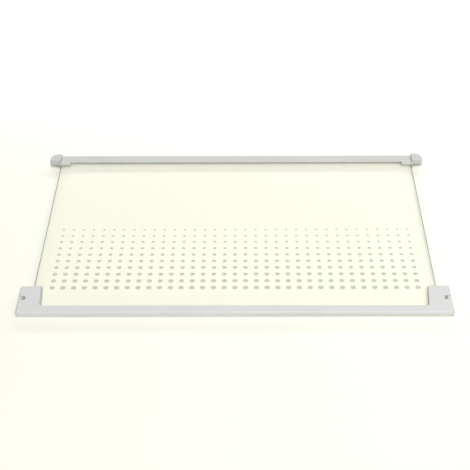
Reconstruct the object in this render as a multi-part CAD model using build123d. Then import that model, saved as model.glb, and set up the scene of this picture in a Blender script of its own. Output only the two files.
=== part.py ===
"""Glass shelf for a refrigerator: pane, printed dots, front trim and rear trim.

Millimetres. X runs across the shelf, Y from front to back, Z up.
The origin is under the middle of the shelf, on the plane that it stands on.
"""
import os

from build123d import *

# Glass pane
GLASS_WIDTH = 448.0
GLASS_DEPTH = 300.0
GLASS_THICKNESS = 4.0
GLASS_CORNER_RADIUS = 8.0
GLASS_ARRIS = 0.5

# Printed dots, in rows that grow towards the front
DOT_PITCH = 12.0
DOT_ROWS = 10
DOT_FRONT_MARGIN = 42.5
DOT_SIDE_MARGIN = 20.0
DOT_FRONT_RADIUS = 3.1
DOT_BACK_RADIUS = 1.2
DOT_SIDES = 8
PRINT_THICKNESS = 0.1

# Fit of the pane in the trims: its faces are gripped, its edges have room
PANE_END_CLEARANCE = 0.5
PANE_SIDE_CLEARANCE = 0.4

# Sizes that both trims share
LOWER_LIP = 0.8
UPPER_LIP = 2.2
SIDE_OVERHANG = 14.0
SIDE_WALL = 2.0
FLANGE_THICKNESS = 4.0
SHELL_WALL = 2.0

# Front trim
FRONT_WALL = 3.5
STRIP_DEPTH = 12.0
FRONT_EDGE_RADIUS = 1.8
NOSE_UNDER_RADIUS = 2.0
BLOCK_WIDTH = 26.8
BLOCK_TAPER = 3.0
BLOCK_DEPTH = 45.5
BLOCK_CORNER_RADIUS = 2.2
BLOCK_INNER_RADIUS = 2.0
BLOCK_LAND = 0.3
BLOCK_SLOPE = 1.9
FLANGE_RIB = 1.5

# Catch slot in each corner block: a leg along the side and a slit out to it
CATCH_FROM_FRONT = 21.5
CATCH_LENGTH = 6.2
CATCH_WIDTH = 3.8
CATCH_TONGUE = 3.9
CATCH_SLIT = 1.2

# Rear trim
REAR_WALL = 4.5
REAR_EDGE_RADIUS = 1.2
BAR_DEPTH = 12.6
BAR_LIP_GAP = 0.7
TAB_DEPTH = 20.2
TAB_REACH = 13.0
TAB_CORNER_RADIUS = 1.5
LUG_DEPTH = 16.0
LUG_HEIGHT = 7.1
LUG_OUTER_RADIUS = 9.0
LUG_CORNER_RADIUS = 2.0

# Places that follow from the sizes above
WIDTH = GLASS_WIDTH + 2 * SIDE_OVERHANG
DEPTH = FRONT_WALL + REAR_WALL + GLASS_DEPTH + 2 * PANE_END_CLEARANCE
FRONT_Y = -DEPTH / 2
BACK_Y = DEPTH / 2
GLASS_FRONT_Y = FRONT_Y + FRONT_WALL + PANE_END_CLEARANCE
GLASS_BACK_Y = GLASS_FRONT_Y + GLASS_DEPTH
GLASS_UNDERSIDE_Z = LOWER_LIP
GLASS_TOP_Z = LOWER_LIP + GLASS_THICKNESS
TRIM_TOP_Z = GLASS_TOP_Z + UPPER_LIP
REST_Z = TRIM_TOP_Z - FLANGE_THICKNESS
POCKET_SIDE_X = GLASS_WIDTH / 2 + PANE_SIDE_CLEARANCE
WALL_X = POCKET_SIDE_X + SIDE_WALL


def block(x0, x1, y0, y1, z0, z1):
    """A box between two corners."""
    size = Box(x1 - x0, y1 - y0, z1 - z0)
    return Pos((x0 + x1) / 2, (y0 + y1) / 2, (z0 + z1) / 2) * size


def both_sides(shape):
    """The shape and its mirror image across the middle of the shelf."""
    return shape + mirror(shape, about=Plane.YZ)


def round_top(solid, top_z, radius):
    """Round every edge of the top face, all at one radius."""
    edges = solid.faces().filter_by_position(Axis.Z, top_z, top_z)[0].edges()
    return fillet(edges, radius)


def round_plan_corners(face, points, radius):
    """Round the corners of a flat outline that stand at the given points."""
    corners = [face.vertices().sort_by_distance(Vector(x, y, 0))[0] for x, y in points]
    return fillet(corners, radius)


def pane_pocket():
    """The room that the pane takes in the trims, with clearance at its edges."""
    outline = RectangleRounded(
        GLASS_WIDTH + 2 * PANE_SIDE_CLEARANCE,
        GLASS_DEPTH + 2 * PANE_END_CLEARANCE,
        GLASS_CORNER_RADIUS,
    )
    middle_y = (GLASS_FRONT_Y + GLASS_BACK_Y) / 2
    return Pos(0, middle_y, GLASS_UNDERSIDE_Z) * extrude(outline, GLASS_THICKNESS)


def make_glass_panel():
    """The pane: rounded corners and a ground arris on every edge."""
    outline = RectangleRounded(GLASS_WIDTH, GLASS_DEPTH, GLASS_CORNER_RADIUS)
    pane = extrude(outline, GLASS_THICKNESS)
    rims = pane.faces().filter_by(Plane.XY).edges()
    pane = chamfer(rims, GLASS_ARRIS)
    middle_y = (GLASS_FRONT_Y + GLASS_BACK_Y) / 2
    return Pos(0, middle_y, GLASS_UNDERSIDE_Z) * pane


def make_dot_print():
    """Enamel dots under the pane: an eight-sided rim on the glass, thickest in its middle."""
    steps = int((GLASS_WIDTH - 2 * DOT_SIDE_MARGIN) // DOT_PITCH)
    dots = []
    for row in range(DOT_ROWS):
        share = row / (DOT_ROWS - 1)
        radius = DOT_FRONT_RADIUS + share * (DOT_BACK_RADIUS - DOT_FRONT_RADIUS)
        y = GLASS_FRONT_Y + DOT_FRONT_MARGIN + row * DOT_PITCH
        rim = RegularPolygon(radius, DOT_SIDES).face()
        dot = loft([rim, Vertex(0, 0, -PRINT_THICKNESS)], ruled=True)
        for column in range(steps + 1):
            x = (column - steps / 2) * DOT_PITCH
            dots.append(Pos(x, y, GLASS_UNDERSIDE_Z) * dot)
    return Compound(children=dots)


def front_outline():
    """Plan of the front trim: the strip, and a block behind it at each end that narrows to the back."""
    root_x = WIDTH / 2 - BLOCK_WIDTH
    block_y = FRONT_Y + BLOCK_DEPTH
    strip_y = FRONT_Y + STRIP_DEPTH
    right = [
        (WIDTH / 2, FRONT_Y),
        (WIDTH / 2, block_y),
        (root_x + BLOCK_TAPER, block_y),
        (root_x, strip_y),
    ]
    left = [(-x, y) for x, y in reversed(right)]
    plan = make_face(Polyline(*right, *left, close=True))
    outer = [right[0], right[1], left[2], left[3]]
    inner = [right[2], right[3], left[0], left[1]]
    plan = round_plan_corners(plan, outer, BLOCK_CORNER_RADIUS)
    return round_plan_corners(plan, inner, BLOCK_INNER_RADIUS)


def nose_profile():
    """Side view of the front trim, with the round under its nose."""
    height = TRIM_TOP_Z
    side = make_face(
        Polyline(
            (0, FRONT_Y, 0),
            (0, FRONT_Y + BLOCK_DEPTH, 0),
            (0, FRONT_Y + BLOCK_DEPTH, height),
            (0, FRONT_Y, height),
            close=True,
        )
    )
    corner = side.vertices().sort_by_distance(Vector(0, FRONT_Y, 0))[0]
    side = fillet(corner, NOSE_UNDER_RADIUS)
    return extrude(side, WIDTH / 2, dir=(1, 0, 0), both=True)


def flange_hollow():
    """What is taken from under the right block: the step for the ledge and two pockets."""
    outer_x = WIDTH / 2
    skirt_y = FRONT_Y + FRONT_WALL + SHELL_WALL
    block_y = FRONT_Y + BLOCK_DEPTH
    step = block(WALL_X, outer_x + 1, skirt_y, block_y + 1, -1, REST_Z)
    pocket_x = outer_x - SHELL_WALL
    roof_z = TRIM_TOP_Z - SHELL_WALL
    hollow = block(WALL_X, pocket_x, skirt_y, block_y - SHELL_WALL, REST_Z - 1, roof_z)
    rib_y = FRONT_Y + CATCH_FROM_FRONT + CATCH_LENGTH
    rib = block(WALL_X, pocket_x, rib_y, rib_y + FLANGE_RIB, REST_Z, roof_z)
    return step + (hollow - rib)


def catch_slot():
    """The slot that frees a springy tongue at the side of the right block."""
    outer_x = WIDTH / 2
    front_y = FRONT_Y + CATCH_FROM_FRONT
    rear_y = front_y + CATCH_LENGTH
    leg_x = outer_x - CATCH_TONGUE - CATCH_WIDTH
    leg = block(leg_x, leg_x + CATCH_WIDTH, front_y, rear_y, 0, TRIM_TOP_Z + 1)
    slit = block(leg_x, outer_x + 1, rear_y - CATCH_SLIT, rear_y, 0, TRIM_TOP_Z + 1)
    return leg + slit


def inner_slope():
    """What is taken from the right block's inner wall: above a narrow land, the wall leans back."""
    root_x = WIDTH / 2 - BLOCK_WIDTH
    strip_y = FRONT_Y + STRIP_DEPTH
    block_y = FRONT_Y + BLOCK_DEPTH
    clear = 3 * BLOCK_INNER_RADIUS
    lean = BLOCK_TAPER / (block_y - strip_y)
    ends = []
    for y in (strip_y, block_y + 1):
        wall_x = root_x + lean * (y - strip_y)
        section = Polyline(
            (wall_x - clear, y, GLASS_TOP_Z),
            (wall_x, y, GLASS_TOP_Z),
            (wall_x, y, GLASS_TOP_Z + BLOCK_LAND),
            (wall_x + BLOCK_SLOPE, y, TRIM_TOP_Z),
            (wall_x + BLOCK_SLOPE, y, TRIM_TOP_Z + 1),
            (wall_x - clear, y, TRIM_TOP_Z + 1),
            close=True,
        )
        ends.append(make_face(section))
    return loft(ends, ruled=True)


def make_front_trim():
    """One moulding: nose strip along the front edge and a block round each front corner."""
    trim = extrude(front_outline(), TRIM_TOP_Z)
    trim = round_top(trim, TRIM_TOP_Z, FRONT_EDGE_RADIUS)
    trim = trim & nose_profile()
    trim = trim - both_sides(inner_slope()) - pane_pocket()
    return trim - both_sides(flange_hollow()) - both_sides(catch_slot())


def bar_outline():
    """Plan of the rear bar with a tab at each end that reaches over the pane's corner."""
    bar_y = BACK_Y - BAR_DEPTH
    tab_y = BACK_Y - TAB_DEPTH
    tab_x = GLASS_WIDTH / 2 - TAB_REACH
    right = [
        (tab_x, bar_y),
        (tab_x, tab_y),
        (WALL_X, tab_y),
        (WALL_X, BACK_Y),
    ]
    left = [(-x, y) for x, y in reversed(right)]
    plan = make_face(Polyline(*right, *left, close=True))
    return round_plan_corners(plan, right + left, TAB_CORNER_RADIUS)


def make_lug():
    """The right end lug: a hollow peg, open below, with a large outer rear corner."""
    inner_x = POCKET_SIDE_X
    outer_x = WIDTH / 2
    front_y = BACK_Y - LUG_DEPTH
    corners = [(inner_x, front_y), (outer_x, front_y), (outer_x, BACK_Y), (inner_x, BACK_Y)]
    plan = make_face(Polyline(*corners, close=True))
    plan = round_plan_corners(plan, [corners[2]], LUG_OUTER_RADIUS)
    plan = round_plan_corners(plan, [corners[0], corners[1], corners[3]], LUG_CORNER_RADIUS)
    lug = Pos(0, 0, REST_Z) * extrude(plan, LUG_HEIGHT)
    lug = round_top(lug, REST_Z + LUG_HEIGHT, REAR_EDGE_RADIUS)
    core = offset(plan, amount=-SHELL_WALL)
    return lug - Pos(0, 0, REST_Z - 1) * extrude(core, LUG_HEIGHT - SHELL_WALL + 1)


def make_rear_trim():
    """One moulding: channel bar along the rear edge, end tabs and end lugs."""
    bar = extrude(bar_outline(), TRIM_TOP_Z)
    bar = round_top(bar, TRIM_TOP_Z, REAR_EDGE_RADIUS)
    bar_y = BACK_Y - BAR_DEPTH
    tab_x = GLASS_WIDTH / 2 - TAB_REACH
    relief_y = GLASS_BACK_Y + PANE_END_CLEARANCE
    lip_z = GLASS_TOP_Z + BAR_LIP_GAP
    relief = block(-tab_x, tab_x, 0, relief_y, GLASS_UNDERSIDE_Z, lip_z)
    tab_relief = block(-POCKET_SIDE_X, POCKET_SIDE_X, 0, bar_y, GLASS_UNDERSIDE_Z, lip_z)
    under_tabs = block(-WIDTH, WIDTH, 0, bar_y, -1, GLASS_UNDERSIDE_Z)
    trim = bar - pane_pocket() - relief - tab_relief - under_tabs
    return trim + both_sides(make_lug())


os.makedirs("parts", exist_ok=True)
export_step(make_glass_panel(), "parts/glass_panel.step")
export_step(make_dot_print(), "parts/dot_print.step")
export_step(make_front_trim(), "parts/front_trim.step")
export_step(make_rear_trim(), "parts/rear_trim.step")
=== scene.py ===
"""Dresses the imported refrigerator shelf: clear pane, printed dots, moulded trims and a pale stage."""
import math

import bpy
import numpy as np
from bpy.props import FloatProperty, FloatVectorProperty, IntProperty, PointerProperty
from bpy.types import Operator, Panel, PropertyGroup
from mathutils import Matrix, Vector


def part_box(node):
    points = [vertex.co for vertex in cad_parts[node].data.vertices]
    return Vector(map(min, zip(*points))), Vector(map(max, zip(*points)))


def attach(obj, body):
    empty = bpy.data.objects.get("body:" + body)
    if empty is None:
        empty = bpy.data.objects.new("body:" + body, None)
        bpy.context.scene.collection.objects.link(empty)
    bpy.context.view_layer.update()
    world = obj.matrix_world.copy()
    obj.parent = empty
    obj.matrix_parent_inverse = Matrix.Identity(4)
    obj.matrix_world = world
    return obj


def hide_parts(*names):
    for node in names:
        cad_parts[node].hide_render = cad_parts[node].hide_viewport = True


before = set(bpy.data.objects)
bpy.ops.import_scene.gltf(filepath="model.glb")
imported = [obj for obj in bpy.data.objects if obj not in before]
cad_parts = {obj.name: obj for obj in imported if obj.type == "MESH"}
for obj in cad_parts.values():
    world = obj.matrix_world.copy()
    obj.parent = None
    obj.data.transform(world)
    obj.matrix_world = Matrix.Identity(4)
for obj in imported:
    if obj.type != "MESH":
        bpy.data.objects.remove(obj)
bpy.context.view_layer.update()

bl_info = {
    "name": "Glass refrigerator shelf",
    "version": (1, 0, 0),
    "blender": (4, 5, 0),
    "location": "View3D > Sidebar > Shelf",
    "description": "Builds the pane, dot print, trim finish, rear lip and stage of a glass shelf",
    "category": "Object",
}

PANE_LOW, PANE_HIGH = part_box("glass_panel")
PRINT_LOW, PRINT_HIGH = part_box("dot_print")
# The two trims are level on top, and only the rear lugs stand higher
TRIM_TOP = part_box("front_trim")[1].z
REAR_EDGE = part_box("rear_trim")[1].y
MM = 0.001

# Points along a quarter circle: corners of the pane in plan, its arris, the lip's top edge
CORNER_POINTS = 13
ARRIS_POINTS = 5
LIP_EDGE_POINTS = 9

# How far each material's tone falls and rises over its surface, as factors of its colour
PLASTIC_TONES = (0.975, 1.02)
GLASS_TONES = (0.995, 1.003)
EDGE_TONES = (0.9, 1.1)
ENAMEL_TONES = (0.95, 1.05)

# Refraction, spread of the plastic's roughness, and relief of the fine grains
GLASS_IOR = 1.52
GLOSS_SPREAD = 0.06
PLASTIC_GRAIN_STRENGTH = 0.5
ENAMEL_GRAIN = 0.004 * MM
ENAMEL_GRAIN_STRENGTH = 0.4

# Floor, sky and camera, in metres where no other unit is named
FLOOR_REACH = 4.0
FLOOR_DROP = 0.05 * MM
SKY_COLOUR = (1.0, 0.995, 0.98)
SENSOR_WIDTH_MM = 36.0
CAMERA_CLIP_END = 20.0

# Place and size of each soft lamp, in metres
LAMPS = {
    "key": ((0.4, -1.86, 2.35), (1.6, 1.3)),
    "side": ((0.55, -0.1, 0.45), (0.3, 0.25)),
    "top": ((0.0, 0.6, 2.9), (0.9, 0.25)),
    "back": ((0.0, 0.75, 0.24), (1.4, 0.05)),
}


class PaneSettings(PropertyGroup):
    """Sizes and colours of the glass pane."""

    corner_radius: FloatProperty(
        name="Corner radius",
        description="Radius of the pane's four corners in plan",
        default=8 * MM,
        unit="LENGTH",
    )
    arris: FloatProperty(
        name="Arris",
        description="How far the ground edge rounds in from the faces",
        default=0.5 * MM,
        unit="LENGTH",
    )
    hair_gap: FloatProperty(
        name="Hair gap",
        description="Air left between the pane and the lips that grip it",
        default=0.02 * MM,
        unit="LENGTH",
    )
    tint: FloatVectorProperty(
        name="Tint",
        description="Colour that white light keeps after one pass through the pane",
        default=(0.97, 0.969, 0.93),
        subtype="COLOR",
        min=0.0,
        max=1.0,
    )
    edge_tint: FloatVectorProperty(
        name="Edge tint",
        description="Colour of the ground edge",
        default=(0.26, 0.36, 0.29),
        subtype="COLOR",
        min=0.0,
        max=1.0,
    )


class PrintSettings(PropertyGroup):
    """Sizes and colour of the printed dots."""

    pitch: FloatProperty(
        name="Pitch",
        description="Distance between neighbouring dots, along and across",
        default=12 * MM,
        unit="LENGTH",
    )
    rows: IntProperty(
        name="Rows",
        description="Number of rows from the front to the back of the print",
        default=10,
        min=2,
    )
    front_radius: FloatProperty(
        name="Front radius",
        description="Radius of the dots in the front row",
        default=3.1 * MM,
        unit="LENGTH",
    )
    back_radius: FloatProperty(
        name="Back radius",
        description="Radius of the dots in the back row",
        default=1.5 * MM,
        unit="LENGTH",
    )
    thickness: FloatProperty(
        name="Thickness",
        description="Thickness of the enamel",
        default=0.04 * MM,
        unit="LENGTH",
    )
    sides: IntProperty(
        name="Sides",
        description="Points round the rim of a dot",
        default=24,
        min=8,
    )
    colour: FloatVectorProperty(
        name="Colour",
        description="Colour of the enamel",
        default=(0.542, 0.568, 0.482),
        subtype="COLOR",
        min=0.0,
        max=1.0,
    )


class TrimSettings(PropertyGroup):
    """Finish of the two moulded trims."""

    front_colour: FloatVectorProperty(
        name="Front colour",
        description="Colour of the front trim's plastic",
        default=(0.67, 0.675, 0.668),
        subtype="COLOR",
        min=0.0,
        max=1.0,
    )
    # Painted shade: the rear trim is the front's plastic, painted darker to stand in for the shade on it
    rear_colour_with_painted_shade: FloatVectorProperty(
        name="Rear colour",
        description="Colour of the rear trim's plastic",
        default=(0.57, 0.577, 0.557),
        subtype="COLOR",
        min=0.0,
        max=1.0,
    )
    roughness: FloatProperty(
        name="Roughness",
        description="Mean roughness of the satin finish",
        default=0.42,
        min=0.0,
        max=1.0,
    )
    # Painted shade: walls that face left and right are darkened by this share of their colour
    painted_side_shade: FloatProperty(
        name="Side shade",
        description="How much darker the walls are that face left and right",
        default=0.32,
        min=0.0,
        max=1.0,
    )
    grain: FloatProperty(
        name="Grain",
        description="Height of the spark-eroded grain",
        default=0.012 * MM,
        unit="LENGTH",
    )


class LipSettings(PropertyGroup):
    """Sizes of the lip along the rear bar."""

    reach: FloatProperty(
        name="Reach",
        description="How far the lip stands in front of the bar's foot",
        default=1.5 * MM,
        unit="LENGTH",
    )
    thickness: FloatProperty(
        name="Thickness",
        description="Height of the lip, from its underside to the bar's top",
        default=1.8 * MM,
        unit="LENGTH",
    )
    sink: FloatProperty(
        name="Sink",
        description="Hair by which the lip's top lies below the bar's top, so that the faces stay apart",
        default=0.02 * MM,
        unit="LENGTH",
    )
    edge_radius: FloatProperty(
        name="Edge radius",
        description="Radius along the top edge of the bar and of its lip",
        default=1.2 * MM,
        unit="LENGTH",
    )
    bar_depth: FloatProperty(
        name="Bar depth",
        description="Depth of the bar from the shelf's rear edge to the front of its foot",
        default=12.6 * MM,
        unit="LENGTH",
    )
    tab_reach: FloatProperty(
        name="Tab reach",
        description="How far the bar's end tabs reach in from the side edges of the pane",
        default=13 * MM,
        unit="LENGTH",
    )


class StageSettings(PropertyGroup):
    """Floor, light and camera."""

    floor_colour: FloatVectorProperty(
        name="Floor colour",
        description="Colour of the pale floor",
        default=(0.99, 0.978, 0.89),
        subtype="COLOR",
        min=0.0,
        max=1.0,
    )
    fade_start: FloatProperty(
        name="Fade start",
        description="Distance from the middle at which the floor starts to turn white",
        default=0.45,
        min=0.0,
        unit="LENGTH",
    )
    fade_end: FloatProperty(
        name="Fade end",
        description="Distance from the middle at which the floor is plain white",
        default=0.95,
        min=0.0,
        unit="LENGTH",
    )
    sky: FloatProperty(
        name="Sky",
        description="Strength of the sky's white light, before it falls off to the sides",
        default=0.43,
        min=0.0,
    )
    side_fall: FloatProperty(
        name="Side fall",
        description="Share of the sky's light that is missing at the far left and right",
        default=1.0,
        min=0.0,
        max=1.0,
    )
    key_power: FloatProperty(
        name="Key power",
        description="Power of the large lamp above and in front of the shelf",
        default=53.7,
        min=0.0,
        unit="POWER",
    )
    side_power: FloatProperty(
        name="Side power",
        description="Power of the small lamp to the right of the shelf",
        default=0.45,
        min=0.0,
        unit="POWER",
    )
    top_power: FloatProperty(
        name="Top power",
        description="Power of the lamp high above and behind the shelf",
        default=12.5,
        min=0.0,
        unit="POWER",
    )
    back_power: FloatProperty(
        name="Back power",
        description="Power of the low lamp behind the shelf",
        default=3.8,
        min=0.0,
        unit="POWER",
    )
    camera_place: FloatVectorProperty(
        name="Camera place",
        description="Where the camera stands",
        default=(0.0123, -1.1192, 0.8386),
        subtype="XYZ",
    )
    camera_aim: FloatVectorProperty(
        name="Camera aim",
        description="Point in the middle of the picture",
        default=(-0.0004, -0.0107, 0.0029),
        subtype="XYZ",
    )
    camera_roll: FloatProperty(
        name="Camera roll",
        description="Turn of the picture about its middle",
        default=math.radians(-0.505),
        subtype="ANGLE",
    )
    camera_lens: FloatProperty(
        name="Camera lens",
        description="Focal length on a 36 mm wide sensor, in millimetres",
        default=90.02,
        min=1.0,
    )


def mesh_object(name, points, loops, sizes):
    """A new object from an array of points, the point numbers round every face, and the face sizes."""
    mesh = bpy.data.meshes.new(name)
    starts = np.concatenate(([0], np.cumsum(sizes)[:-1]))
    mesh.vertices.add(len(points))
    mesh.vertices.foreach_set("co", points.astype(np.float32).ravel())
    mesh.loops.add(len(loops))
    mesh.loops.foreach_set("vertex_index", loops.astype(np.int32))
    mesh.polygons.add(len(sizes))
    mesh.polygons.foreach_set("loop_start", starts.astype(np.int32))
    mesh.update(calc_edges=True)
    if mesh.validate():
        raise RuntimeError(f"the mesh of {name} has faults")
    piece = bpy.data.objects.new(name, mesh)
    bpy.context.scene.collection.objects.link(piece)
    return piece


def rounded_outline(half_width, half_depth, radius):
    """Points of a rounded rectangle and the outward direction at each.

    They run anticlockwise, as four quarter circles that straight sides join.
    """
    turn = np.arange(4)[:, None] * (math.pi / 2)
    angle = turn + np.linspace(0, math.pi / 2, CORNER_POINTS)[None, :]
    corner = turn + math.pi / 4
    centre_x = np.sign(np.cos(corner)) * (half_width - radius)
    centre_y = np.sign(np.sin(corner)) * (half_depth - radius)
    x = centre_x + radius * np.cos(angle)
    y = centre_y + radius * np.sin(angle)
    outline = np.stack([x.ravel(), y.ravel()], axis=1)
    outward = np.stack([np.cos(angle).ravel(), np.sin(angle).ravel()], axis=1)
    return outline, outward


def pane_surface(settings):
    """Points, loops and face sizes of the pane.

    The edge is a profile carried round the outline: at arc angle a, from -90 degrees on the face to 0
    on the edge, it stands arris * (1 - cos a) in from the outline and arris * (1 + sin a) in from the
    face. The two faces close it as flat polygons.
    """
    low = np.array(PANE_LOW)
    high = np.array(PANE_HIGH)
    middle = (low + high) / 2
    half = (high - low) / 2
    arris = settings.arris
    outline, outward = rounded_outline(half[0], half[1], settings.corner_radius)
    arc = np.linspace(-math.pi / 2, 0, ARRIS_POINTS)
    inset = arris * (1 - np.cos(arc))
    rise = arris * (1 + np.sin(arc))
    inset = np.concatenate([inset, inset[::-1]])
    height = 2 * (half[2] - settings.hair_gap)
    level = np.concatenate([rise, height - rise[::-1]])
    flat = outline[None, :, :] - inset[:, None, None] * outward[None, :, :]
    z = np.broadcast_to(level[:, None, None], flat.shape[:2] + (1,))
    points = np.concatenate([flat, z], axis=2).reshape(-1, 3)
    points = points + np.array([middle[0], middle[1], low[2] + settings.hair_gap])
    rings, steps = len(level), len(outline)
    ring, step = np.meshgrid(np.arange(rings - 1), np.arange(steps), indexing="ij")
    after = (step + 1) % steps
    lower = ring * steps
    upper = lower + steps
    quads = np.stack([lower + step, lower + after, upper + after, upper + step], axis=-1).ravel()
    bottom = np.arange(steps)[::-1]
    top = np.arange(steps) + (rings - 1) * steps
    loops = np.concatenate([quads, bottom, top])
    sizes = np.concatenate([np.full((rings - 1) * steps, 4), [steps, steps]])
    return points, loops, sizes


def dot_surface(settings, pane_underside):
    """Points, loops and face sizes of the dot print.

    Dot (i, j) is a round plate at the grid point (x0 + i * pitch, y0 + j * pitch), with a radius
    that goes evenly from the front row's to the back row's. Its lower rim stands in by the thickness.
    """
    first_x = PRINT_LOW.x + settings.front_radius
    first_y = PRINT_LOW.y + settings.front_radius
    columns = 1 + round((PRINT_HIGH.x - settings.front_radius - first_x) / settings.pitch)
    row, column = np.meshgrid(np.arange(settings.rows), np.arange(columns), indexing="ij")
    centre_x = (first_x + column * settings.pitch).ravel()
    centre_y = (first_y + row * settings.pitch).ravel()
    share = (row / (settings.rows - 1)).ravel()
    radius = settings.front_radius + share * (settings.back_radius - settings.front_radius)
    sides = settings.sides
    angle = np.arange(sides) * (2 * math.pi / sides)
    rim = np.stack([np.cos(angle), np.sin(angle)], axis=1)
    count = len(radius)
    points = np.empty((count, 2, sides, 3))
    for level in range(2):
        reach = radius - level * settings.thickness
        points[:, level, :, 0] = centre_x[:, None] + reach[:, None] * rim[None, :, 0]
        points[:, level, :, 1] = centre_y[:, None] + reach[:, None] * rim[None, :, 1]
        points[:, level, :, 2] = pane_underside - level * settings.thickness
    step = np.arange(sides)
    after = (step + 1) % sides
    wall = np.stack([step, after, sides + after, sides + step], axis=1)[:, ::-1].ravel()
    one = np.concatenate([step, sides + step[::-1], wall])
    loops = (one[None, :] + np.arange(count)[:, None] * 2 * sides).ravel()
    sizes = np.tile(np.concatenate([[sides, sides], np.full(sides, 4)]), count)
    return points.reshape(-1, 3), loops, sizes


def lip_surface(settings):
    """Points, loops and face sizes of the lip along the rear bar.

    A profile carried along x from tab to tab: flat on top, a quarter circle down to the front wall,
    flat below, and a slanting rear face that lies inside the bar.
    """
    radius = settings.edge_radius
    bar_front = REAR_EDGE - settings.bar_depth
    front = bar_front - settings.reach
    top = TRIM_TOP - settings.sink
    underside = TRIM_TOP - settings.thickness
    arc = np.linspace(0, math.pi / 2, LIP_EDGE_POINTS)
    round_y = front + radius * (1 - np.sin(arc))
    round_z = top - radius * (1 - np.cos(arc))
    y = np.concatenate([[bar_front + radius], round_y, [front, bar_front]])
    z = np.concatenate([[top], round_z, [underside, underside]])
    half = PANE_HIGH.x - settings.tab_reach + radius
    ends = np.array([-half, half])
    points = np.stack(np.broadcast_arrays(ends[:, None], y, z), axis=2).reshape(-1, 3)
    count = len(y)
    step = np.arange(count)
    after = (step + 1) % count
    quads = np.stack([step, after, count + after, count + step], axis=1).ravel()
    loops = np.concatenate([quads, step[::-1], count + step])
    sizes = np.concatenate([np.full(count, 4), [count, count]])
    return points, loops, sizes


def shader_group(name, inputs, outputs):
    """A new shader node group with number inputs (name, default) and outputs (name, socket type)."""
    tree = bpy.data.node_groups.new(name, "ShaderNodeTree")
    for label, default in inputs:
        socket = tree.interface.new_socket(label, in_out="INPUT", socket_type="NodeSocketFloat")
        socket.default_value = default
    for label, kind in outputs:
        tree.interface.new_socket(label, in_out="OUTPUT", socket_type=kind)
    return tree, tree.nodes.new("NodeGroupInput"), tree.nodes.new("NodeGroupOutput")


def mottle_group():
    """Soft cloudy mask from noise, used for tone and for gloss.

    A Stretch below 1 draws it out along x. Noise from 0.3 to 0.7 is spread from Low to High.
    """
    name = "Soft mottle"
    if name in bpy.data.node_groups:
        return bpy.data.node_groups[name]
    tree, enter, leave = shader_group(
        name,
        [("Scale", 40.0), ("Stretch", 1.0), ("Low", 0.0), ("High", 1.0)],
        [("Mask", "NodeSocketFloat")],
    )
    place = tree.nodes.new("ShaderNodeTexCoord")
    stretch = tree.nodes.new("ShaderNodeCombineXYZ")
    stretch.inputs["Y"].default_value = 1.0
    stretch.inputs["Z"].default_value = 1.0
    spread = tree.nodes.new("ShaderNodeVectorMath")
    spread.operation = "MULTIPLY"
    noise = tree.nodes.new("ShaderNodeTexNoise")
    noise.inputs["Detail"].default_value = 3.0
    noise.inputs["Roughness"].default_value = 0.55
    limit = tree.nodes.new("ShaderNodeMapRange")
    limit.inputs["From Min"].default_value = 0.3
    limit.inputs["From Max"].default_value = 0.7
    tree.links.new(enter.outputs["Stretch"], stretch.inputs["X"])
    tree.links.new(place.outputs["Object"], spread.inputs[0])
    tree.links.new(stretch.outputs["Vector"], spread.inputs[1])
    tree.links.new(spread.outputs["Vector"], noise.inputs["Vector"])
    tree.links.new(enter.outputs["Scale"], noise.inputs["Scale"])
    tree.links.new(noise.outputs["Fac"], limit.inputs["Value"])
    tree.links.new(enter.outputs["Low"], limit.inputs["To Min"])
    tree.links.new(enter.outputs["High"], limit.inputs["To Max"])
    tree.links.new(limit.outputs["Result"], leave.inputs["Mask"])
    return tree


def grain_group():
    """Fine pitted grain: cells of a Voronoi pattern, broken up by noise at twice their scale.

    The height is the smooth distance from a cell's middle plus 0.6 of the noise.
    """
    name = "Fine grain"
    if name in bpy.data.node_groups:
        return bpy.data.node_groups[name]
    tree, enter, leave = shader_group(name, [("Scale", 1600.0)], [("Height", "NodeSocketFloat")])
    place = tree.nodes.new("ShaderNodeTexCoord")
    cells = tree.nodes.new("ShaderNodeTexVoronoi")
    cells.feature = "SMOOTH_F1"
    double = tree.nodes.new("ShaderNodeMath")
    double.operation = "MULTIPLY"
    double.inputs[1].default_value = 2.0
    noise = tree.nodes.new("ShaderNodeTexNoise")
    noise.inputs["Detail"].default_value = 2.0
    blend = tree.nodes.new("ShaderNodeMath")
    blend.operation = "MULTIPLY_ADD"
    blend.inputs[1].default_value = 0.6
    tree.links.new(place.outputs["Object"], cells.inputs["Vector"])
    tree.links.new(place.outputs["Object"], noise.inputs["Vector"])
    tree.links.new(enter.outputs["Scale"], cells.inputs["Scale"])
    tree.links.new(enter.outputs["Scale"], double.inputs[0])
    tree.links.new(double.outputs["Value"], noise.inputs["Scale"])
    tree.links.new(noise.outputs["Fac"], blend.inputs[0])
    tree.links.new(cells.outputs["Distance"], blend.inputs[2])
    tree.links.new(blend.outputs["Value"], leave.inputs["Height"])
    return tree


def blank_material(name):
    """A material with only a Principled shader and its output."""
    material = bpy.data.materials.new(name)
    material.use_nodes = True
    tree = material.node_tree
    tree.nodes.clear()
    shader = tree.nodes.new("ShaderNodeBsdfPrincipled")
    output = tree.nodes.new("ShaderNodeOutputMaterial")
    tree.links.new(shader.outputs["BSDF"], output.inputs["Surface"])
    return material, tree, shader, output


def add_group(tree, group, **values):
    """A node that places a group in a material with its own values."""
    node = tree.nodes.new("ShaderNodeGroup")
    node.node_tree = group
    for label, value in values.items():
        node.inputs[label].default_value = value
    return node


def shades(colour, factors):
    """A colour made darker and lighter by two factors, kept below white."""
    return [tuple(min(1.0, channel * factor) for channel in colour) for factor in factors]


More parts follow.
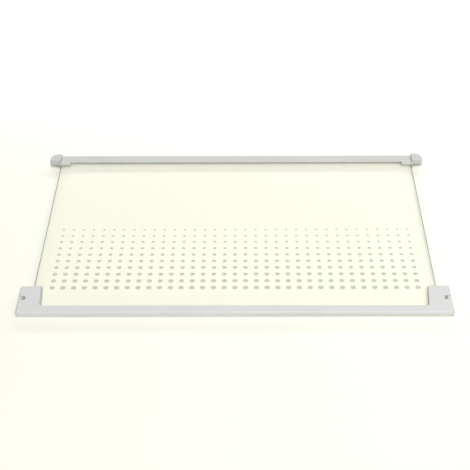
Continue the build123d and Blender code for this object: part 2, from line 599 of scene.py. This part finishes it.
def tone(tree, mask, dark, light):
    """Colour socket that goes from one tone to another by a mask."""
    mix = tree.nodes.new("ShaderNodeMix")
    mix.data_type = "RGBA"
    mix.inputs["A"].default_value = (*dark, 1.0)
    mix.inputs["B"].default_value = (*light, 1.0)
    tree.links.new(mask, mix.inputs["Factor"])
    return mix.outputs["Result"]


# Painted shade on walls that face sideways, standing in for light the lamps do not take away
def paint_side_shade(tree, colour, share):
    """Colour socket with painted shade: darker by a share where the surface faces left or right.

    The mask is twice the square of the normal's x, at most 1, so it is full from 45 degrees on.
    """
    place = tree.nodes.new("ShaderNodeTexCoord")
    split = tree.nodes.new("ShaderNodeSeparateXYZ")
    square = tree.nodes.new("ShaderNodeMath")
    square.operation = "MULTIPLY"
    double = tree.nodes.new("ShaderNodeMath")
    double.operation = "MULTIPLY"
    double.use_clamp = True
    double.inputs[1].default_value = 2.0
    mix = tree.nodes.new("ShaderNodeMix")
    mix.data_type = "RGBA"
    mix.blend_type = "MULTIPLY"
    mix.inputs["B"].default_value = (1 - share, 1 - share, 1 - share, 1.0)
    tree.links.new(place.outputs["Normal"], split.inputs["Vector"])
    tree.links.new(split.outputs["X"], square.inputs[0])
    tree.links.new(split.outputs["X"], square.inputs[1])
    tree.links.new(square.outputs["Value"], double.inputs[0])
    tree.links.new(double.outputs["Value"], mix.inputs["Factor"])
    tree.links.new(colour, mix.inputs["A"])
    return mix.outputs["Result"]


def relief(tree, height, shader, distance, strength):
    """Give the shader a Normal that follows a height."""
    bump = tree.nodes.new("ShaderNodeBump")
    bump.inputs["Distance"].default_value = distance
    bump.inputs["Strength"].default_value = strength
    tree.links.new(height, bump.inputs["Height"])
    tree.links.new(bump.outputs["Normal"], shader.inputs["Normal"])


def plastic_material(name, colour, settings):
    """Moulded plastic: faint tone clouds, painted shade on side walls, satin gloss with rub marks,
    spark-eroded grain.
    """
    material, tree, shader, _ = blank_material(name)
    clouds = add_group(tree, mottle_group(), Scale=22.0, Stretch=0.6)
    clouded = tone(tree, clouds.outputs["Mask"], *shades(colour, PLASTIC_TONES))
    # Painted shade: walls that face left and right are darkened
    with_painted_side_shade = paint_side_shade(tree, clouded, settings.painted_side_shade)
    tree.links.new(with_painted_side_shade, shader.inputs["Base Color"])
    rubs = add_group(
        tree,
        mottle_group(),
        Scale=180.0,
        Stretch=0.12,
        Low=settings.roughness - GLOSS_SPREAD,
        High=settings.roughness + GLOSS_SPREAD,
    )
    tree.links.new(rubs.outputs["Mask"], shader.inputs["Roughness"])
    grain = add_group(tree, grain_group(), Scale=1500.0)
    relief(tree, grain.outputs["Height"], shader, settings.grain, PLASTIC_GRAIN_STRENGTH)
    return material


def let_light_through(tree, shader, output, colour):
    """Let shadow and diffuse rays pass the glass as a plain filter, so that things below stay lit."""
    path = tree.nodes.new("ShaderNodeLightPath")
    clear = tree.nodes.new("ShaderNodeBsdfTransparent")
    clear.inputs["Color"].default_value = (*colour, 1.0)
    surface = shader.outputs["BSDF"]
    for ray in ("Is Shadow Ray", "Is Diffuse Ray"):
        mix = tree.nodes.new("ShaderNodeMixShader")
        tree.links.new(path.outputs[ray], mix.inputs["Fac"])
        tree.links.new(surface, mix.inputs[1])
        tree.links.new(clear.outputs["BSDF"], mix.inputs[2])
        surface = mix.outputs["Shader"]
    tree.links.new(surface, output.inputs["Surface"])


def clear_glass_material(settings):
    """Polished toughened glass with a faint tint, and wipe marks that only show in its gloss."""
    material, tree, shader, output = blank_material("clear_glass")
    shader.inputs["Transmission Weight"].default_value = 1.0
    shader.inputs["IOR"].default_value = GLASS_IOR
    clouds = add_group(tree, mottle_group(), Scale=5.0, Stretch=0.5)
    tint = tone(tree, clouds.outputs["Mask"], *shades(settings.tint, GLASS_TONES))
    tree.links.new(tint, shader.inputs["Base Color"])
    wipes = add_group(tree, mottle_group(), Scale=30.0, Stretch=0.15, Low=0.0, High=0.03)
    tree.links.new(wipes.outputs["Mask"], shader.inputs["Roughness"])
    one_face = tuple(math.sqrt(channel) for channel in settings.tint)
    let_light_through(tree, shader, output, one_face)
    return material


def ground_edge_material(settings):
    """Edge of the pane: matt from the grinding wheel, and green, as light runs along the glass."""
    material, tree, shader, output = blank_material("ground_edge")
    shader.inputs["Transmission Weight"].default_value = 0.5
    shader.inputs["IOR"].default_value = GLASS_IOR
    streaks = add_group(tree, mottle_group(), Scale=700.0, Stretch=0.3)
    tint = tone(tree, streaks.outputs["Mask"], *shades(settings.edge_tint, EDGE_TONES))
    tree.links.new(tint, shader.inputs["Base Color"])
    matt = add_group(tree, mottle_group(), Scale=900.0, Stretch=0.3, Low=0.28, High=0.42)
    tree.links.new(matt.outputs["Mask"], shader.inputs["Roughness"])
    let_light_through(tree, shader, output, settings.edge_tint)
    return material


def enamel_material(settings):
    """Fired enamel: grey green, slightly uneven in tone, with the grain of the frit."""
    material, tree, shader, _ = blank_material("dot_enamel")
    clouds = add_group(tree, mottle_group(), Scale=260.0)
    clouded = tone(tree, clouds.outputs["Mask"], *shades(settings.colour, ENAMEL_TONES))
    tree.links.new(clouded, shader.inputs["Base Color"])
    gloss = add_group(tree, mottle_group(), Scale=400.0, Low=0.38, High=0.5)
    tree.links.new(gloss.outputs["Mask"], shader.inputs["Roughness"])
    grain = add_group(tree, grain_group(), Scale=6000.0)
    relief(tree, grain.outputs["Height"], shader, ENAMEL_GRAIN, ENAMEL_GRAIN_STRENGTH)
    return material


def floor_material(settings):
    """Pale floor round the shelf that turns into glowing white further out."""
    material, tree, shader, _ = blank_material("pale_floor")
    place = tree.nodes.new("ShaderNodeTexCoord")
    reach = tree.nodes.new("ShaderNodeVectorMath")
    reach.operation = "LENGTH"
    fade = tree.nodes.new("ShaderNodeMapRange")
    fade.interpolation_type = "SMOOTHSTEP"
    fade.inputs["From Min"].default_value = settings.fade_start
    fade.inputs["From Max"].default_value = settings.fade_end
    tree.links.new(place.outputs["Object"], reach.inputs[0])
    tree.links.new(reach.outputs["Value"], fade.inputs["Value"])
    paint = tone(tree, fade.outputs["Result"], settings.floor_colour, (0.0, 0.0, 0.0))
    tree.links.new(paint, shader.inputs["Base Color"])
    tree.links.new(fade.outputs["Result"], shader.inputs["Emission Color"])
    shader.inputs["Emission Strength"].default_value = 1.0
    shader.inputs["Roughness"].default_value = 0.9
    shader.inputs["Specular IOR Level"].default_value = 0.0
    return material


class SHELF_OT_pane(Operator):
    """Build the glass pane with its ground edge"""

    bl_idname = "shelf.pane"
    bl_label = "Glass pane"

    def execute(self, context):
        settings = context.scene.shelf_pane
        points, loops, sizes = pane_surface(settings)
        pane = mesh_object("pane", points, loops, sizes)
        pane.data.materials.append(clear_glass_material(settings))
        pane.data.materials.append(ground_edge_material(settings))
        # The edge is made of quads, and each face of the pane is one large polygon
        on_edge = sizes == 4
        pane.data.polygons.foreach_set("material_index", on_edge.astype(np.int32))
        pane.data.polygons.foreach_set("use_smooth", on_edge)
        pane.data.update()
        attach(pane, "root")
        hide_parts("glass_panel")
        return {"FINISHED"}


class SHELF_OT_dots(Operator):
    """Build the rows of printed dots under the pane"""

    bl_idname = "shelf.dots"
    bl_label = "Dot print"

    def execute(self, context):
        settings = context.scene.shelf_print
        underside = PANE_LOW.z - context.scene.shelf_pane.hair_gap
        points, loops, sizes = dot_surface(settings, underside)
        dots = mesh_object("dots", points, loops, sizes)
        dots.data.materials.append(enamel_material(settings))
        dots.data.polygons.foreach_set("use_smooth", np.zeros(len(sizes), dtype=bool))
        dots.data.update()
        dots.visible_shadow = False
        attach(dots, "root")
        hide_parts("dot_print")
        return {"FINISHED"}


class SHELF_OT_trims(Operator):
    """Give the moulded trims their plastic finish"""

    bl_idname = "shelf.trims"
    bl_label = "Trim finish"

    def execute(self, context):
        settings = context.scene.shelf_trim
        # The rear trim's colour carries painted shade
        colours = {"front_trim": settings.front_colour, "rear_trim": settings.rear_colour_with_painted_shade}
        for name, colour in colours.items():
            plastic = plastic_material(f"{name}_plastic", colour, settings)
            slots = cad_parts[name].material_slots
            if not slots:
                raise RuntimeError(f"{name} has no material slot")
            for place in slots:
                place.material = plastic
        return {"FINISHED"}


class SHELF_OT_lip(Operator):
    """Build the lip along the rear bar, in the rear trim's plastic"""

    bl_idname = "shelf.lip"
    bl_label = "Rear lip"

    def execute(self, context):
        points, loops, sizes = lip_surface(context.scene.shelf_lip)
        lip = mesh_object("bar_lip", points, loops, sizes)
        lip.data.materials.append(bpy.data.materials["rear_trim_plastic"])
        lip.data.polygons.foreach_set("use_smooth", np.zeros(len(sizes), dtype=bool))
        lip.data.update()
        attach(lip, "root")
        return {"FINISHED"}


class SHELF_OT_stage(Operator):
    """Set up the floor, the light and the camera"""

    bl_idname = "shelf.stage"
    bl_label = "Stage"

    def execute(self, context):
        scene = context.scene
        settings = scene.shelf_stage
        self.lay_floor(settings)
        self.light_sky(scene, settings)
        for name, (place, size) in LAMPS.items():
            self.hang_lamp(scene, name, place, size, getattr(settings, f"{name}_power"))
        self.place_camera(scene, settings)
        scene.view_settings.view_transform = "Standard"
        return {"FINISHED"}

    def lay_floor(self, settings):
        """A flat square just under the trims."""
        corners = np.array([(-1, -1), (1, -1), (1, 1), (-1, 1)]) * FLOOR_REACH
        points = np.column_stack([corners, np.full(4, -FLOOR_DROP)])
        floor = mesh_object("floor", points, np.arange(4), np.array([4]))
        floor.data.materials.append(floor_material(settings))

    def light_sky(self, scene, settings):
        """Light for surfaces, and plain white for what is seen directly, mirrored or through glass.

        The light's strength is sky * (1 - side_fall * x * x) in a direction with the x part x.
        """
        world = bpy.data.worlds.new("studio")
        world.use_nodes = True
        tree = world.node_tree
        tree.nodes.clear()
        path = tree.nodes.new("ShaderNodeLightPath")
        seen = tree.nodes.new("ShaderNodeMath")
        seen.operation = "MAXIMUM"
        shown = tree.nodes.new("ShaderNodeMath")
        shown.operation = "MAXIMUM"
        place = tree.nodes.new("ShaderNodeTexCoord")
        split = tree.nodes.new("ShaderNodeSeparateXYZ")
        square = tree.nodes.new("ShaderNodeMath")
        square.operation = "MULTIPLY"
        fall = tree.nodes.new("ShaderNodeMath")
        fall.operation = "MULTIPLY_ADD"
        fall.inputs[1].default_value = -settings.side_fall * settings.sky
        fall.inputs[2].default_value = settings.sky
        light = tree.nodes.new("ShaderNodeBackground")
        white = tree.nodes.new("ShaderNodeBackground")
        white.inputs["Strength"].default_value = 1.0
        mix = tree.nodes.new("ShaderNodeMixShader")
        output = tree.nodes.new("ShaderNodeOutputWorld")
        for node in (light, white):
            node.inputs["Color"].default_value = (*SKY_COLOUR, 1.0)
        tree.links.new(place.outputs["Generated"], split.inputs["Vector"])
        tree.links.new(split.outputs["X"], square.inputs[0])
        tree.links.new(split.outputs["X"], square.inputs[1])
        tree.links.new(square.outputs["Value"], fall.inputs[0])
        tree.links.new(fall.outputs["Value"], light.inputs["Strength"])
        tree.links.new(path.outputs["Is Camera Ray"], seen.inputs[0])
        tree.links.new(path.outputs["Is Glossy Ray"], seen.inputs[1])
        tree.links.new(seen.outputs["Value"], shown.inputs[0])
        tree.links.new(path.outputs["Is Transmission Ray"], shown.inputs[1])
        tree.links.new(shown.outputs["Value"], mix.inputs["Fac"])
        tree.links.new(light.outputs["Background"], mix.inputs[1])
        tree.links.new(white.outputs["Background"], mix.inputs[2])
        tree.links.new(mix.outputs["Shader"], output.inputs["Surface"])
        scene.world = world

    def hang_lamp(self, scene, name, place, size, power):
        """A soft lamp that faces the shelf, unseen through glass. Only the key shows in gloss."""
        lamp = bpy.data.lights.new(name, "AREA")
        lamp.shape = "RECTANGLE"
        lamp.size, lamp.size_y = size
        lamp.energy = power
        hung = bpy.data.objects.new(name, lamp)
        hung.location = place
        hung.rotation_euler = (-Vector(place)).to_track_quat("-Z", "Y").to_euler()
        hung.visible_glossy = name == "key"
        hung.visible_transmission = False
        scene.collection.objects.link(hung)

    def place_camera(self, scene, settings):
        """Camera turned to its aim, then rolled about its own axis."""
        data = bpy.data.cameras.new("camera")
        data.sensor_width = SENSOR_WIDTH_MM
        data.lens = settings.camera_lens
        data.clip_end = CAMERA_CLIP_END
        camera = bpy.data.objects.new("camera", data)
        place = Vector(settings.camera_place)
        look = (Vector(settings.camera_aim) - place).to_track_quat("-Z", "Y").to_matrix()
        turn = (look @ Matrix.Rotation(settings.camera_roll, 3, "Z")).to_4x4()
        camera.matrix_world = Matrix.Translation(place) @ turn
        scene.collection.objects.link(camera)
        scene.camera = camera


class SHELF_PT_panel(Panel):
    """Sizes, colours and build steps of the shelf"""

    bl_idname = "SHELF_PT_panel"
    bl_label = "Glass shelf"
    bl_space_type = "VIEW_3D"
    bl_region_type = "UI"
    bl_category = "Shelf"

    def draw(self, context):
        for step, group in BUILD_STEPS:
            box = self.layout.box()
            settings = getattr(context.scene, group)
            for name in settings.__annotations__:
                box.prop(settings, name)
            box.operator(step)


BUILD_STEPS = (
    ("shelf.pane", "shelf_pane"),
    ("shelf.dots", "shelf_print"),
    ("shelf.trims", "shelf_trim"),
    ("shelf.lip", "shelf_lip"),
    ("shelf.stage", "shelf_stage"),
)
SETTINGS = {
    "shelf_pane": PaneSettings,
    "shelf_print": PrintSettings,
    "shelf_trim": TrimSettings,
    "shelf_lip": LipSettings,
    "shelf_stage": StageSettings,
}
CLASSES = (
    *SETTINGS.values(),
    SHELF_OT_pane,
    SHELF_OT_dots,
    SHELF_OT_trims,
    SHELF_OT_lip,
    SHELF_OT_stage,
    SHELF_PT_panel,
)


def register():
    """Register the classes and hang the settings on the scene."""
    for cls in CLASSES:
        bpy.utils.register_class(cls)
    for name, cls in SETTINGS.items():
        setattr(bpy.types.Scene, name, PointerProperty(type=cls))


def unregister():
    """Undo register."""
    for name in SETTINGS:
        delattr(bpy.types.Scene, name)
    for cls in reversed(CLASSES):
        bpy.utils.unregister_class(cls)


def main():
    """Build every piece."""
    register()
    bpy.ops.shelf.pane()
    bpy.ops.shelf.dots()
    bpy.ops.shelf.trims()
    bpy.ops.shelf.lip()
    bpy.ops.shelf.stage()


if __name__ == "__main__":
    main()
